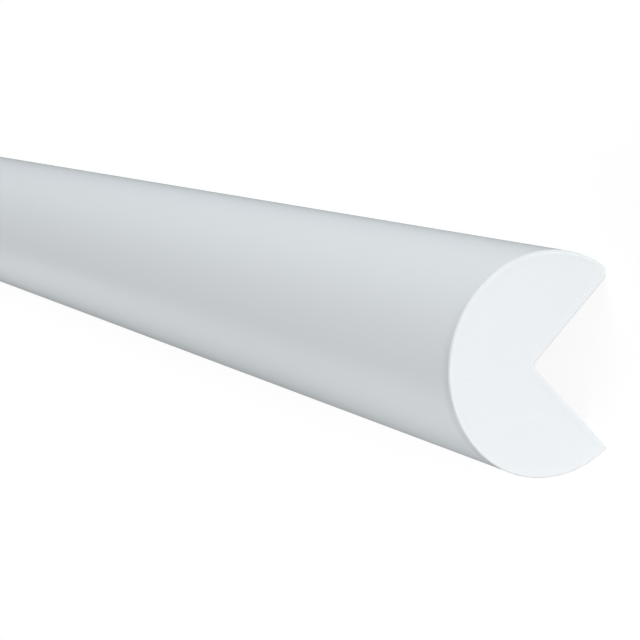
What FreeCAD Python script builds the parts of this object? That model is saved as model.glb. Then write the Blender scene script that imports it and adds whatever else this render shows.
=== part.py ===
import FreeCAD, Part
import math
import os
import Sketcher

# Corner guard moulding: one metre of soft foam stock, moulded round, with a
# square notch along it that takes the corner of a wall, post or beam.
# Millimetres, +Z up. The stock lies with its notch down, on its two lips. Its
# length runs along X, and the origin is on the floor under its middle.

SIZES = {
    "stock_length": 1000,      # a standard length, cut square at both ends
    "section_diameter": 40,    # the round outside
    "notch_angle": 90,         # between the two flanks, in degrees
    "notch_past_centre": 3.5,  # how far the flanks meet beyond the centre of the round
    "root_radius": 1.0,        # the inside corner where the flanks meet
    "round_lip_radius": 2.0,   # the lip on the -Y side, moulded round
    "crisp_lip_radius": 0.4,   # the lip on the +Y side, almost a sharp edge
}


def size_sheet(doc):
    """Puts the driving sizes in a sheet, one named cell each."""
    sheet = doc.addObject("Spreadsheet::Sheet", "Sizes")
    for row, (name, value) in enumerate(SIZES.items(), start=1):
        sheet.set(f"A{row}", name)
        sheet.set(f"B{row}", str(value))
        sheet.setAlias(f"B{row}", name)
    doc.recompute()
    return sheet


def arc(centre, radius, start, end):
    """An arc from one direction round to another, anticlockwise, in radians."""
    circle = Part.Circle(FreeCAD.Vector(*centre, 0), FreeCAD.Vector(0, 0, 1), radius)
    return Part.ArcOfCircle(circle, start, end)


def line(start, end):
    return Part.LineSegment(FreeCAD.Vector(*start, 0), FreeCAD.Vector(*end, 0))


def lip_centre(sizes, lip_radius):
    """Where a lip's rounding has its centre, across and up from the centre of the round."""
    half_angle = math.radians(sizes.notch_angle / 2)
    off_flank = sizes.notch_past_centre * math.sin(half_angle) + lip_radius
    along_flank = math.sqrt((sizes.section_diameter / 2 - lip_radius) ** 2 - off_flank ** 2)
    across = off_flank * math.cos(half_angle) + along_flank * math.sin(half_angle)
    up = off_flank * math.sin(half_angle) - along_flank * math.cos(half_angle)
    return across, up


def draw_section(sketch, sizes):
    """Draws the outline: the round, then the lip, flank, root, flank and lip of the notch.

    It is drawn close to its place with the notch straight down. The constraints then
    hold both lips on the floor, which leans the notch a little where they differ.
    """
    half_angle = math.radians(sizes.notch_angle / 2)
    into_foam = (math.cos(half_angle), math.sin(half_angle))
    crisp, round_ = sizes.crisp_lip_radius, sizes.round_lip_radius
    crisp_centre, round_centre = lip_centre(sizes, crisp), lip_centre(sizes, round_)
    middle = crisp - crisp_centre[1]
    root_up = middle + sizes.notch_past_centre - sizes.root_radius / math.sin(half_angle)
    crisp_side = math.atan2(crisp_centre[1], crisp_centre[0])
    round_side = math.atan2(round_centre[1], round_centre[0])

    outside = sketch.addGeometry(
        arc((0, middle), sizes.section_diameter / 2, crisp_side, math.pi - round_side))
    round_lip = sketch.addGeometry(
        arc((-round_centre[0], middle + round_centre[1]), round_,
            math.pi - round_side, 2 * math.pi - half_angle))
    round_flank = sketch.addGeometry(line(
        (round_ * into_foam[0] - round_centre[0], middle + round_centre[1] - round_ * into_foam[1]),
        (-sizes.root_radius * into_foam[0], root_up + sizes.root_radius * into_foam[1])))
    root = sketch.addGeometry(
        arc((0, root_up), sizes.root_radius, half_angle, math.pi - half_angle))
    crisp_flank = sketch.addGeometry(line(
        (sizes.root_radius * into_foam[0], root_up + sizes.root_radius * into_foam[1]),
        (crisp_centre[0] - crisp * into_foam[0], middle + crisp_centre[1] - crisp * into_foam[1])))
    crisp_lip = sketch.addGeometry(
        arc((crisp_centre[0], middle + crisp_centre[1]), crisp,
            math.pi + half_angle, 2 * math.pi + crisp_side))
    return outside, round_lip, round_flank, root, crisp_flank, crisp_lip


def constrain_section(sketch, sizes, outline):
    """Joins the outline smoothly, binds its sizes to the sheet and stands it on both lips."""
    outside, round_lip, round_flank, root, crisp_flank, crisp_lip = outline
    start, end, centre = 1, 2, 3
    origin, upright = -1, -2

    for first, first_point, second, second_point in (
            (outside, end, round_lip, start),
            (round_lip, end, round_flank, start),
            (round_flank, end, root, end),
            (root, start, crisp_flank, start),
            (crisp_flank, end, crisp_lip, start),
            (crisp_lip, end, outside, start)):
        sketch.addConstraint(
            Sketcher.Constraint("Tangent", first, first_point, second, second_point))
    sketch.addConstraint(Sketcher.Constraint("PointOnObject", outside, centre, upright))

    half_angle = math.radians(sizes.notch_angle / 2)
    flank_offset = sizes.notch_past_centre * math.sin(half_angle)
    offset_formula = "Sizes.notch_past_centre * sin(Sizes.notch_angle / 2 * 1 deg)"
    for name, formula, constraint in (
            ("section_diameter", "Sizes.section_diameter",
             Sketcher.Constraint("Diameter", outside, sizes.section_diameter)),
            ("round_lip", "Sizes.round_lip_radius",
             Sketcher.Constraint("Radius", round_lip, sizes.round_lip_radius)),
            ("crisp_lip", "Sizes.crisp_lip_radius",
             Sketcher.Constraint("Radius", crisp_lip, sizes.crisp_lip_radius)),
            ("root", "Sizes.root_radius",
             Sketcher.Constraint("Radius", root, sizes.root_radius)),
            ("notch_angle", "Sizes.notch_angle * 1 deg",
             Sketcher.Constraint("Angle", round_flank, end, crisp_flank, start, 2 * half_angle)),
            ("round_flank_offset", offset_formula,
             Sketcher.Constraint("Distance", outside, centre, round_flank, flank_offset)),
            ("crisp_flank_offset", offset_formula,
             Sketcher.Constraint("Distance", outside, centre, crisp_flank, flank_offset)),
            ("round_lip_on_floor", "Sizes.round_lip_radius",
             Sketcher.Constraint("DistanceY", origin, start, round_lip, centre,
                                 sizes.round_lip_radius)),
            ("crisp_lip_on_floor", "Sizes.crisp_lip_radius",
             Sketcher.Constraint("DistanceY", origin, start, crisp_lip, centre,
                                 sizes.crisp_lip_radius))):
        index = sketch.addConstraint(constraint)
        sketch.renameConstraint(index, name)
        sketch.setExpression(f"Constraints.{name}", formula)


def corner_guard(doc, sizes):
    """The whole moulding is one piece of foam: the section, run along the stock's length."""
    body = doc.addObject("PartDesign::Body", "CornerGuard")
    body.Label = "corner_guard"
    across = next(plane for plane in body.Origin.OriginFeatures if plane.Role == "YZ_Plane")
    sketch = body.newObject("Sketcher::SketchObject", "Section")
    sketch.AttachmentSupport = [(across, "")]
    sketch.MapMode = "FlatFace"
    outline = draw_section(sketch, sizes)
    constrain_section(sketch, sizes, outline)

    stock = body.newObject("PartDesign::Pad", "Stock")
    stock.Profile = sketch
    stock.Midplane = True
    stock.setExpression("Length", "Sizes.stock_length")
    body.Placement = FreeCAD.Placement()
    return body


def check(doc, bodies):
    """Stops if anything in the document failed to rebuild."""
    for item in doc.Objects:
        if "Invalid" in item.State or "Error" in item.State:
            raise RuntimeError(f"{item.Label} did not rebuild: {item.State}")
    for body in bodies:
        if body.Shape.isNull() or not body.Shape.isValid() or len(body.Shape.Solids) != 1:
            raise RuntimeError(f"{body.Label} is not one valid solid")


document = FreeCAD.newDocument("corner_guard_moulding")
sizes = size_sheet(document)
pieces = [corner_guard(document, sizes)]
document.recompute()
check(document, pieces)
os.makedirs("parts", exist_ok=True)
for piece in pieces:
    piece.Shape.exportStep(f"parts/{piece.Label}.step")
    print(piece.Label, "volume", round(piece.Shape.Volume), "box", piece.Shape.BoundBox)
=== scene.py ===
import math

import bpy
from mathutils import Matrix, Vector, geometry, noise


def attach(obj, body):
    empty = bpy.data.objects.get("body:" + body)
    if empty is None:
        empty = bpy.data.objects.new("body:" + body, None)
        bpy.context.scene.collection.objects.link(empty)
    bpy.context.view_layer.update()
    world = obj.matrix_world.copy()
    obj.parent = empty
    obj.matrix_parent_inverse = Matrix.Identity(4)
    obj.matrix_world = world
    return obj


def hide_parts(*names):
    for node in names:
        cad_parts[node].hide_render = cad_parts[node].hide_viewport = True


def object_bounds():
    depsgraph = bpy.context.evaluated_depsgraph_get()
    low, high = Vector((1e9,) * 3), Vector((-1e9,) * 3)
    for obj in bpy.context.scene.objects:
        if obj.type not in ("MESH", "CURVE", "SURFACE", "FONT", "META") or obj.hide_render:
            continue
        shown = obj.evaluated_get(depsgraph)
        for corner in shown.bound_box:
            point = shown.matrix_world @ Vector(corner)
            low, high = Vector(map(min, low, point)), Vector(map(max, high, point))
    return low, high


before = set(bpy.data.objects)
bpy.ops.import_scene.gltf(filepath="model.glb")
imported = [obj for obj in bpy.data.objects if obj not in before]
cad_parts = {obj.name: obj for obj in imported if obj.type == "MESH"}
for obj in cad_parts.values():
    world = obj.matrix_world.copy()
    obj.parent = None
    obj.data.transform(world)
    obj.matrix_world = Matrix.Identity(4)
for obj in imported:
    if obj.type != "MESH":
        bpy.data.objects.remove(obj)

cad_low, cad_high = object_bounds()

# The moulding
# One piece of soft self-skinned polyurethane foam, moulded round, with a square
# notch along it that takes the corner of a wall or post. It is cut square at both
# ends and lies with its notch down, on its two lips.
round_radius = 0.020
notch_half_angle = math.radians(45)
notch_past_centre = 0.0035
root_radius = 0.001
round_lip_radius = 0.002
crisp_lip_radius = 0.0004


def lip_centre(lip_radius):
    """Where a lip's rounding has its centre, from the centre of the round, the notch straight down."""
    off_flank = notch_past_centre * math.sin(notch_half_angle) + lip_radius
    along_flank = math.sqrt((round_radius - lip_radius) ** 2 - off_flank ** 2)
    return Vector((
        off_flank * math.cos(notch_half_angle) + along_flank * math.sin(notch_half_angle),
        off_flank * math.sin(notch_half_angle) - along_flank * math.cos(notch_half_angle)))


def arc(centre, radius, start, end, steps, hollow=False):
    """Points round an arc, each with the direction that leaves the foam there."""
    for step in range(steps + 1):
        angle = start + (end - start) * step / steps
        way = Vector((math.cos(angle), math.sin(angle)))
        yield centre + radius * way, (-way if hollow else way)


def section_outline(spacing):
    """The section's outline, standing on both lips, as (point, way out of the foam) pairs."""
    round_lip_steps, root_steps, crisp_lip_steps = 16, 10, 8
    crisp_lip, round_lip = lip_centre(crisp_lip_radius), lip_centre(round_lip_radius)
    round_lip.x = -round_lip.x
    crisp_side = math.atan2(crisp_lip.y, crisp_lip.x)
    round_side = 2 * math.pi + math.atan2(round_lip.y, round_lip.x)
    root = Vector((0, notch_past_centre - root_radius / math.sin(notch_half_angle)))
    round_steps = round(round_radius * (round_side - crisp_side) / spacing)
    curves = [
        *arc(Vector((0, 0)), round_radius, crisp_side, round_side, round_steps),
        *arc(round_lip, round_lip_radius, round_side, 2 * math.pi - notch_half_angle, round_lip_steps),
        *arc(root, root_radius, math.pi - notch_half_angle, notch_half_angle, root_steps, hollow=True),
        *arc(crisp_lip, crisp_lip_radius, math.pi + notch_half_angle, 2 * math.pi + crisp_side,
             crisp_lip_steps)]

    # Between the curves lie the two flanks, divided like the rest. A point met twice is left out.
    same_point, shortest_flank = 1e-7, 3 * spacing
    drawn = []
    for index, (point, way) in enumerate(curves):
        before = curves[index - 1][0]
        stretch = (point - before).length
        if stretch > shortest_flank:
            steps = math.ceil(stretch / spacing)
            drawn += [(before.lerp(point, step / steps), way) for step in range(1, steps)]
        if stretch > same_point:
            drawn.append((point, way))

    # The lips differ in radius, so the section leans a little to stand on both.
    across = crisp_lip - round_lip
    lean = math.asin((crisp_lip_radius - round_lip_radius) / across.length)
    turn = Matrix.Rotation(lean - math.atan2(across.y, across.x), 2)
    height = crisp_lip_radius - (turn @ crisp_lip).y
    return [(turn @ point + Vector((0, height)), turn @ way) for point, way in drawn]


outline_spacing = 0.0006
outline = section_outline(outline_spacing)

# How the two ends are cut: a tiny rounding, wider on top than below and in the notch, and
# softest towards -Y, with a narrow band of skin that the blade has dragged out. The skin is
# painted darker in a band beside the cut, and the softest rounding gets painted shade that dims its
# highlight.
top_edge = 0.00036
low_edge = 0.00014
soft_edge = 0.00045
drag_height = 0.00012
drag_reach = 0.0030
blade_side = math.radians(12)
blade_way = Vector((math.sin(blade_side), math.cos(blade_side)))


def ramp(value, low, high):
    """0 up to low and 1 from high on."""
    return max(0, min(1, (value - low) / (high - low)))


def towards_minus_y(way):
    """How far a direction out of the section points to -Y, fading to nothing at the lip."""
    at_lip = -0.72
    return max(0, -way.x) * ramp(way.y, at_lip, 0)


def edge_radius(way):
    """The tiny rounding of the cut edge, for a direction out of the section."""
    low_up_to, top_from = 0.4, 0.9
    radius = low_edge + (top_edge - low_edge) * ramp(way.y, low_up_to, top_from)
    return radius + (soft_edge - radius) * towards_minus_y(way)


def drawn_out(back, way):
    """How far the skin is dragged out, at a distance back from the cut."""
    near = max(0, 1 - back / drag_reach)
    return drag_height * near ** 2 * max(0, way.dot(blade_way)) ** 2


def band_and_edge_shade(back, on_edge, way):
    """How much darker the skin is painted there, from 0 to 1: an uneven darker band beside the cut, and
    painted shade on the soft edge's rounding.
    """
    strongest, unevenness, patches_round, patches_per_metre = 0.62, 0.5, 4, 300
    near = max(0, 1 - back / drag_reach)
    patch = noise.noise(Vector((way.x * patches_round, way.y * patches_round, back * patches_per_metre)))
    band = strongest * near * max(0, way.dot(blade_way)) ** 3 * (1 + unevenness * patch)
    # The second part is painted shade on the rounding towards -Y, where it dims the highlight.
    return min(1, band + on_edge * towards_minus_y(way))


def skin_wander(x, way):
    """How far the soft skin lies below its true form: long, shallow waves."""
    longest_wave, waves_round, deepest = 0.09, 0.8, 0.00005
    place = Vector((x / longest_wave, way.x * waves_round, way.y * waves_round))
    return deepest * (1 + noise.noise(place)) / 2


def half_of_the_rings():
    """Rings back from a cut to the middle: (share of the rounding, its drawing in, distance beyond it)."""
    edge_steps, drag_steps, crowding, ring_spacing = 5, 10, 1.3, 0.008
    for step in range(edge_steps + 1):
        turn = math.pi / 2 * (1 - step / edge_steps)
        yield 1 - math.sin(turn), 1 - math.cos(turn), 0
    for step in range(1, drag_steps + 1):
        yield 1, 0, drag_reach * (step / drag_steps) ** crowding
    clear = (cad_high.x - cad_low.x) / 2 - drag_reach
    count = round(clear / ring_spacing)
    for ring in range(1, count + 1):
        yield 1, 0, drag_reach + clear * ring / (count + 0.5)


# The skin, ring by ring from one end to the other.
half = list(half_of_the_rings())
rings = [(cad_low.x, 1, *ring) for ring in half] + [(cad_high.x, -1, *ring) for ring in reversed(half)]
points, faces, is_cut, from_skin, darker_band_and_edge_shade = [], [], [], [], []
for end, inward, share, draw, beyond in rings:
    on_edge = 2 * (1 - share) * (1 - draw)  # 1 halfway round the rounding, 0 at its ends and beyond
    for point, way in outline:
        radius = edge_radius(way)
        back = radius * share + beyond
        x = end + inward * back
        place = point - way * (radius * draw + skin_wander(x, way) - drawn_out(back, way))
        points.append((x, place.x, max(place.y, 0)))
        from_skin.append(0)
        darker_band_and_edge_shade.append(band_and_edge_shade(back, on_edge, way))
around = len(outline)
for ring in range(len(rings) - 1):
    for step in range(around):
        a, b = ring * around + step, ring * around + (step + 1) % around
        faces.append((a, b, b + around, a + around))
        is_cut.append(False)


def cut_face(ring, outward_x):
    """Fills one cut end with small triangles, dished a little where the soft core springs back."""
    grid, same_point, dish_depth, dish_edge = 0.00045, 1e-7, 0.00003, 0.0012
    rim = [Vector(points[ring * around + step][1:]) for step in range(around)]
    low = Vector((min(p.x for p in rim), min(p.y for p in rim)))
    high = Vector((max(p.x for p in rim), max(p.y for p in rim)))
    row_height = grid * math.sqrt(3) / 2
    inner = []
    for row in range(1, int((high.y - low.y) / row_height) + 1):
        for column in range(int((high.x - low.x) / grid) + 1):
            spot = low + Vector((grid * (column + row % 2 / 2), row_height * row))
            if min((spot - p).length for p in rim) > grid / 2:
                inner.append(spot)
    rim_edges = [(step, (step + 1) % around) for step in range(around)]
    inside_only = 1
    flat, _, triangles, sources, _, _ = geometry.delaunay_2d_cdt(
        rim + inner, rim_edges, [], inside_only, same_point)
    number = {}
    for triangle in triangles:
        for index in triangle:
            if index in number:
                continue
            on_rim = [source for source in sources[index] if source < around]
            if on_rim:
                number[index] = ring * around + on_rim[0]
                continue
            deep = min((flat[index] - p).length for p in rim)
            dish = dish_depth * min(1, deep / dish_edge) ** 2
            number[index] = len(points)
            points.append((points[ring * around][0] - outward_x * dish, *flat[index]))
            from_skin.append(deep)
            darker_band_and_edge_shade.append(0)
        corners = [number[index] for index in triangle]
        faces.append(corners if outward_x > 0 else corners[::-1])
        is_cut.append(True)


cut_face(0, -1)
cut_face(len(rings) - 1, 1)
mesh = bpy.data.meshes.new("foam_moulding")
mesh.from_pydata(points, [], faces)
for polygon, on_cut in zip(mesh.polygons, is_cut):
    polygon.use_smooth = True
    polygon.material_index = int(on_cut)
for name, values in (("from_skin", from_skin), ("darker_band_and_edge_shade", darker_band_and_edge_shade)):
    mesh.attributes.new(name, "FLOAT", "POINT").data.foreach_set("value", values)
moulding = bpy.data.objects.new("foam_moulding", mesh)
bpy.context.scene.collection.objects.link(moulding)


def put(tree, kind, inputs=None, **settings):
    """Adds a shader node. Each input is a value or another node's output."""
    node = tree.nodes.new(kind)
    for setting, value in settings.items():
        setattr(node, setting, value)
    for socket, value in (inputs or {}).items():
        if isinstance(value, bpy.types.NodeSocket):
            tree.links.new(value, node.inputs[socket])
        else:
            node.inputs[socket].default_value = value
    return node


def foam_grain_group():
    """The node group that skin and cut share: three masks from 0 to 1, each at its own real size."""
    tree = bpy.data.node_groups.new("foam_grain", "ShaderNodeTree")
    for name in ("Grain Size", "Cell Size", "Cloud Size"):
        tree.interface.new_socket(name, in_out="INPUT", socket_type="NodeSocketFloat")
    for name in ("Grain", "Cells", "Clouds"):
        tree.interface.new_socket(name, in_out="OUTPUT", socket_type="NodeSocketFloat")
    given = put(tree, "NodeGroupInput")
    place = put(tree, "ShaderNodeTexCoord").outputs["Object"]

    def per_metre(name):
        return put(tree, "ShaderNodeMath", {0: 1.0, 1: given.outputs[name]}, operation="DIVIDE").outputs[0]

    grain = put(tree, "ShaderNodeTexNoise", {
        "Vector": place, "Scale": per_metre("Grain Size"), "Detail": 3.0, "Roughness": 0.55})
    cells = put(tree, "ShaderNodeTexVoronoi", {
        "Vector": place, "Scale": per_metre("Cell Size"), "Randomness": 1.0}, feature="SMOOTH_F1")
    clouds = put(tree, "ShaderNodeTexNoise", {
        "Vector": place, "Scale": per_metre("Cloud Size"), "Detail": 2.0, "Roughness": 0.5})
    put(tree, "NodeGroupOutput", {
        "Grain": grain.outputs[0], "Cells": cells.outputs["Distance"], "Clouds": clouds.outputs[0]})
    return tree


foam_grain = foam_grain_group()


def foam(name, white, shade, grain_size, cell_size, cloud_size):
    """Starts a foam material: its shader, and its grain with the tone that wanders between two whites."""
    material = bpy.data.materials.new(name)
    material.use_nodes = True
    tree = material.node_tree
    grain = put(tree, "ShaderNodeGroup", node_tree=foam_grain)
    for socket, size in (("Grain Size", grain_size), ("Cell Size", cell_size), ("Cloud Size", cloud_size)):
        grain.inputs[socket].default_value = size
    tone = put(tree, "ShaderNodeMix", {
        "Factor": grain.outputs["Clouds"], "A": white, "B": shade}, data_type="RGBA")
    return material, tree, tree.nodes["Principled BSDF"], grain, tone.outputs["Result"]


# The skin is smooth and satin, as it left the mould, with the faintest grain. It is a thin,
# denser film on the foam, and a glancing view loses more light in it.
foam_white = (0.836, 0.871, 0.897, 1)
foam_shade = (0.824, 0.862, 0.890, 1)
band_and_shade_colour = (0.660, 0.690, 0.712, 1)
skin_grain_depth = 0.000005
skin, tree, surface, grain, tone = foam(
    "foam_skin", foam_white, foam_shade, grain_size=0.0005, cell_size=0.0003, cloud_size=0.03)
surface.inputs["Specular IOR Level"].default_value = 0.08
surface.inputs["Coat Weight"].default_value = 0.5
surface.inputs["Coat Roughness"].default_value = 1.0
surface.inputs["Coat IOR"].default_value = 1.0
surface.inputs["Coat Tint"].default_value = (0.892, 0.900, 0.903, 1)
satin = put(tree, "ShaderNodeMapRange", {
    "Value": grain.outputs["Grain"], "To Min": 0.46, "To Max": 0.54})
bump = put(tree, "ShaderNodeBump", {
    "Height": grain.outputs["Grain"], "Strength": 1.0, "Distance": skin_grain_depth})
# Painted darkening: a darker band beside the cut, and painted shade on the softest rounding.
band_and_shade_mask = put(tree, "ShaderNodeAttribute", attribute_name="darker_band_and_edge_shade")
with_band_and_shade = put(tree, "ShaderNodeMix", {
    "Factor": band_and_shade_mask.outputs["Fac"], "A": tone, "B": band_and_shade_colour}, data_type="RGBA")
tree.links.new(with_band_and_shade.outputs["Result"], surface.inputs["Base Color"])
tree.links.new(satin.outputs[0], surface.inputs["Roughness"])
tree.links.new(bump.outputs[0], surface.inputs["Normal"])
mesh.materials.append(skin)

# The cut lays open the fine cells of the core, their hollows painted darker as painted shade. The skin
# shows as a thin paler line round them.
core_white = (0.838, 0.868, 0.892, 1)
core_shade = (0.831, 0.862, 0.887, 1)
cell_hollow_shade = (0.750, 0.786, 0.812, 1)
skin_edge = (0.846, 0.877, 0.901, 1)
skin_thickness = 0.0004
cell_depth = 0.000012
cut, tree, surface, grain, tone = foam(
    "cut_foam", core_white, core_shade, grain_size=0.0009, cell_size=0.00022, cloud_size=0.02)
surface.inputs["Specular IOR Level"].default_value = 0.1
dry = put(tree, "ShaderNodeMapRange", {
    "Value": grain.outputs["Grain"], "To Min": 0.90, "To Max": 1.0})
# Painted shade: each cell is darkened towards its hollow middle.
hollow_shade = put(tree, "ShaderNodeMapRange", {
    "Value": grain.outputs["Cells"], "From Min": 0.05, "From Max": 0.45, "To Min": 0.5, "To Max": 0.0})
cells_with_hollow_shade = put(tree, "ShaderNodeMix", {
    "Factor": hollow_shade.outputs[0], "A": tone, "B": cell_hollow_shade}, data_type="RGBA")
depth = put(tree, "ShaderNodeAttribute", attribute_name="from_skin")
in_skin = put(tree, "ShaderNodeMapRange", {
    "Value": depth.outputs["Fac"], "From Min": skin_thickness / 2, "From Max": skin_thickness * 1.5,
    "To Min": 1.0, "To Max": 0.0})
edged = put(tree, "ShaderNodeMix", {
    "Factor": in_skin.outputs[0], "A": cells_with_hollow_shade.outputs["Result"], "B": skin_edge}, data_type="RGBA")
bump = put(tree, "ShaderNodeBump", {
    "Height": grain.outputs["Cells"], "Strength": 1.0, "Distance": cell_depth})
tree.links.new(edged.outputs["Result"], surface.inputs["Base Color"])
tree.links.new(dry.outputs[0], surface.inputs["Roughness"])
tree.links.new(bump.outputs[0], surface.inputs["Normal"])
mesh.materials.append(cut)

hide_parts("corner_guard")
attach(moulding, "root")

# The floor
# A plain pale studio floor. It shows as white, with the moulding's soft shadow on it,
# and reflects a quieter grey light onto the moulding.
half_floor = 8.0
floor_glow = 0.877
shadow_grey = (0.2, 0.2, 0.2, 1)
bounce_grey = (0.6, 0.6, 0.6, 1)
floor_mesh = bpy.data.meshes.new("floor")
floor_mesh.from_pydata(
    [(-half_floor, -half_floor, 0), (half_floor, -half_floor, 0),
     (half_floor, half_floor, 0), (-half_floor, half_floor, 0)], [], [(0, 1, 2, 3)])
floor = bpy.data.objects.new("floor", floor_mesh)
bpy.context.scene.collection.objects.link(floor)
pale = bpy.data.materials.new("pale_floor")
pale.use_nodes = True
tree = pale.node_tree
tree.nodes.clear()


def seen_white(tree):
    """1 for the rays that show the backdrop: those to the camera, and reflected or passed on to it."""
    path = put(tree, "ShaderNodeLightPath")
    shown = put(tree, "ShaderNodeMath", {
        0: path.outputs["Is Camera Ray"], 1: path.outputs["Is Glossy Ray"]}, operation="MAXIMUM")
    return put(tree, "ShaderNodeMath", {
        0: shown.outputs[0], 1: path.outputs["Is Transmission Ray"]}, operation="MAXIMUM").outputs[0]


glow = put(tree, "ShaderNodeEmission", {"Strength": floor_glow})
shadowed = put(tree, "ShaderNodeBsdfDiffuse", {"Color": shadow_grey})
shown = put(tree, "ShaderNodeAddShader", {0: glow.outputs[0], 1: shadowed.outputs[0]})
bounce = put(tree, "ShaderNodeBsdfDiffuse", {"Color": bounce_grey})
either = put(tree, "ShaderNodeMixShader", {0: seen_white(tree), 1: bounce.outputs[0], 2: shown.outputs[0]})
put(tree, "ShaderNodeOutputMaterial", {"Surface": either.outputs[0]})
floor_mesh.materials.append(pale)

# The light
# Soft, even studio light: wide lamps far off, a little light from all round, and one faint
# small lamp low beside the near end.
air_light = 0.20
world = bpy.data.worlds.new("studio")
bpy.context.scene.world = world
world.use_nodes = True
tree = world.node_tree
tree.nodes.clear()
air = put(tree, "ShaderNodeBackground", {"Color": (1, 1, 1, 1), "Strength": air_light})
white = put(tree, "ShaderNodeBackground", {"Color": (1, 1, 1, 1), "Strength": 1.0})
either = put(tree, "ShaderNodeMixShader", {0: seen_white(tree), 1: air.outputs[0], 2: white.outputs[0]})
put(tree, "ShaderNodeOutputWorld", {"Surface": either.outputs[0]})


def lamp(name, beyond_end, round_from_top, strength, softness=15):
    """A wide lamp far off. Its angles are in degrees: how far it stands beyond the near end
    (beyond the far end if negative), and how far it is turned from overhead to the -Y side."""
    tilt, turn = math.radians(beyond_end), math.radians(round_from_top)
    towards = Vector((-math.sin(tilt), -math.cos(tilt) * math.sin(turn), math.cos(tilt) * math.cos(turn)))
    data = bpy.data.lights.new(name, "SUN")
    data.energy = strength
    data.angle = math.radians(softness)
    light = bpy.data.objects.new(name, data)
    light.rotation_mode = "QUATERNION"
    light.rotation_quaternion = towards.to_track_quat("Z", "Y")
    bpy.context.scene.collection.objects.link(light)


lamp("side_lamp", beyond_end=15, round_from_top=88, strength=2.56)
lamp("near_lamp", beyond_end=65, round_from_top=35, strength=2.00)
lamp("back_lamp", beyond_end=-35, round_from_top=-60, strength=0.60, softness=35)
lamp("far_lamp", beyond_end=-60, round_from_top=-60, strength=0.76, softness=35)
lamp("far_top_lamp", beyond_end=-60, round_from_top=-30, strength=0.50, softness=35)

# The faint lamp stands on the +Y side and points down at the moulding's near end.
low_data = bpy.data.lights.new("low_lamp", "AREA")
low_data.size = 0.05
low_data.energy = 0.0050
low_lamp = bpy.data.objects.new("low_lamp", low_data)
low_lamp.location = (cad_low.x + 0.005, 0.07, 0.055)
low_lamp.rotation_mode = "QUATERNION"
away_from_moulding = Vector((0, 0.05, 0.035))
low_lamp.rotation_quaternion = away_from_moulding.to_track_quat("Z", "Y")
low_lamp.visible_camera = False
bpy.context.scene.collection.objects.link(low_lamp)

# The camera
# It looks along the moulding from near one end, turned a quarter round so that the
# notch opens to the right of the picture.
camera_place = Vector((-0.7808, -0.05745, 0.18636))
camera_aim = Vector((-0.40620, 0.00376, 0.01160))
picture_right = Vector((-0.42600, 0.02500, -0.90438))
view = bpy.data.cameras.new("camera")
view.lens = 108.1
view.sensor_width = 36
view.clip_start = 0.01
view.clip_end = 50
camera = bpy.data.objects.new("camera", view)
bpy.context.scene.collection.objects.link(camera)
backwards = (camera_place - camera_aim).normalized()
right = (picture_right - backwards * picture_right.dot(backwards)).normalized()
up = backwards.cross(right)
turned = Matrix((right, up, backwards)).transposed().to_4x4()
camera.matrix_world = Matrix.Translation(camera_place) @ turned
bpy.context.scene.camera = camera
bpy.context.scene.view_settings.view_transform = "Standard"
